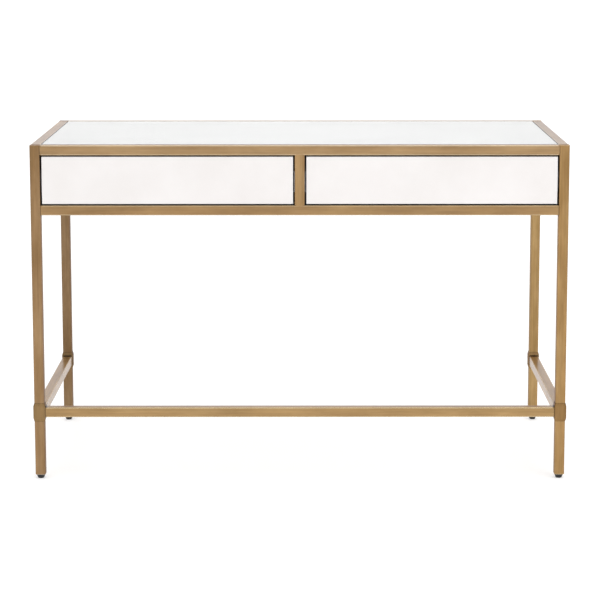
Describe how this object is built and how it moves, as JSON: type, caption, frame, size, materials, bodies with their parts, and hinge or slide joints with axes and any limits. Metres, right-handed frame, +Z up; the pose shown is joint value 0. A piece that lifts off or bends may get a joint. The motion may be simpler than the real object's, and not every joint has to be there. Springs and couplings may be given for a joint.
{
  "type": "vanity desk",
  "caption": "Slim desk with a square-tube gold metal frame, stretchers low on the legs, a glass-covered white top and flush push-to-open drawers",
  "frame": {"origin": "on the floor, at the centre of the footprint", "axes": "+X to the right of someone sitting at the desk, +Y away from them to the back, +Z up"},
  "size_m": [1.205, 0.605, 0.76],
  "materials": {
    "gold_metal": "brushed antique gold, satin clear lacquer",
    "clear_glass": "clear, polished edges",
    "white_board": "white lacquered board, satin",
    "front_wrap": "warm white, faintly mottled wrap, satin",
    "drawer_wood": "pale plywood, sealed",
    "zinc": "bright zinc plate",
    "black_nylon": "moulded, matt",
    "grey_plastic": "moulded, matt"
  },
  "bodies": {
    "desk_frame": {"front_left_leg": "gold_metal", "front_left_collar": "gold_metal", "front_right_leg": "gold_metal", "front_right_collar": "gold_metal", "rear_left_leg": "gold_metal", "rear_left_collar": "gold_metal", "rear_right_leg": "gold_metal", "rear_right_collar": "gold_metal", "front_top_rail": "gold_metal", "rear_top_rail": "gold_metal", "left_top_rail": "gold_metal", "right_top_rail": "gold_metal", "front_lower_rail": "gold_metal", "rear_lower_rail": "gold_metal", "left_lower_rail": "gold_metal", "right_lower_rail": "gold_metal", "centre_post": "gold_metal", "front_stretcher": "gold_metal", "left_stretcher": "gold_metal", "right_stretcher": "gold_metal", "top_ledges": "gold_metal", "bottom_ledges": "gold_metal", "glass_top": "clear_glass", "top_panel": "white_board", "case_bottom": "white_board", "left_side_panel": "white_board", "right_side_panel": "white_board", "back_panel": "white_board", "centre_partition": "white_board", "slide_battens": "white_board", "slide_case_members": "zinc", "frame_screws": "zinc", "latch_housings": "grey_plastic", "foot_inserts": "black_nylon"},
    "front_left_foot": {"front_left_foot": "black_nylon"},
    "front_right_foot": {"front_right_foot": "black_nylon"},
    "rear_left_foot": {"rear_left_foot": "black_nylon"},
    "rear_right_foot": {"rear_right_foot": "black_nylon"},
    "left_drawer": {"left_drawer_face": "front_wrap", "left_drawer_box_front": "drawer_wood", "left_drawer_sides": "drawer_wood", "left_drawer_back": "drawer_wood", "left_drawer_bottom": "drawer_wood", "left_drawer_slide_members": "zinc", "left_drawer_slide_screws": "zinc", "left_drawer_face_screws": "zinc"},
    "left_slide_middles": {"left_slide_middles": "zinc"},
    "left_latch_plunger": {"left_latch_plunger": "grey_plastic"},
    "right_drawer": {"right_drawer_face": "front_wrap", "right_drawer_box_front": "drawer_wood", "right_drawer_sides": "drawer_wood", "right_drawer_back": "drawer_wood", "right_drawer_bottom": "drawer_wood", "right_drawer_slide_members": "zinc", "right_drawer_slide_screws": "zinc", "right_drawer_face_screws": "zinc"},
    "right_slide_middles": {"right_slide_middles": "zinc"},
    "right_latch_plunger": {"right_latch_plunger": "grey_plastic"}
  },
  "joints": [
    {"name": "front_left_foot_turn", "type": "hinge", "parent": "desk_frame", "child": "front_left_foot", "pos_m": [-0.58875, -0.28875, 0.0092], "axis": [0, 0, 1], "continuous": true},
    {"name": "front_right_foot_turn", "type": "hinge", "parent": "desk_frame", "child": "front_right_foot", "pos_m": [0.58875, -0.28875, 0.0092], "axis": [0, 0, 1], "continuous": true},
    {"name": "rear_left_foot_turn", "type": "hinge", "parent": "desk_frame", "child": "rear_left_foot", "pos_m": [-0.58875, 0.28875, 0.0092], "axis": [0, 0, 1], "continuous": true},
    {"name": "rear_right_foot_turn", "type": "hinge", "parent": "desk_frame", "child": "rear_right_foot", "pos_m": [0.58875, 0.28875, 0.0092], "axis": [0, 0, 1], "continuous": true},
    {"name": "left_drawer_slide", "type": "slide", "parent": "desk_frame", "child": "left_drawer", "axis": [0, -1, 0], "range_m": [-0.002, 0.42]},
    {"name": "left_middle_slide", "type": "slide", "parent": "desk_frame", "child": "left_slide_middles", "axis": [0, -1, 0], "range_m": [-0.001, 0.21]},
    {"name": "left_plunger_press", "type": "slide", "parent": "desk_frame", "child": "left_latch_plunger", "axis": [0, 1, 0], "range_m": [0, 0.003], "stiffness_N_per_m": 300, "springref_m": -0.005},
    {"name": "right_drawer_slide", "type": "slide", "parent": "desk_frame", "child": "right_drawer", "axis": [0, -1, 0], "range_m": [-0.002, 0.42]},
    {"name": "right_middle_slide", "type": "slide", "parent": "desk_frame", "child": "right_slide_middles", "axis": [0, -1, 0], "range_m": [-0.001, 0.21]},
    {"name": "right_plunger_press", "type": "slide", "parent": "desk_frame", "child": "right_latch_plunger", "axis": [0, 1, 0], "range_m": [0, 0.003], "stiffness_N_per_m": 300, "springref_m": -0.005}
  ],
  "couplings": [
    {"joint": "left_middle_slide", "follows": "left_drawer_slide", "ratio": 0.5},
    {"joint": "right_middle_slide", "follows": "right_drawer_slide", "ratio": 0.5}
  ]
}
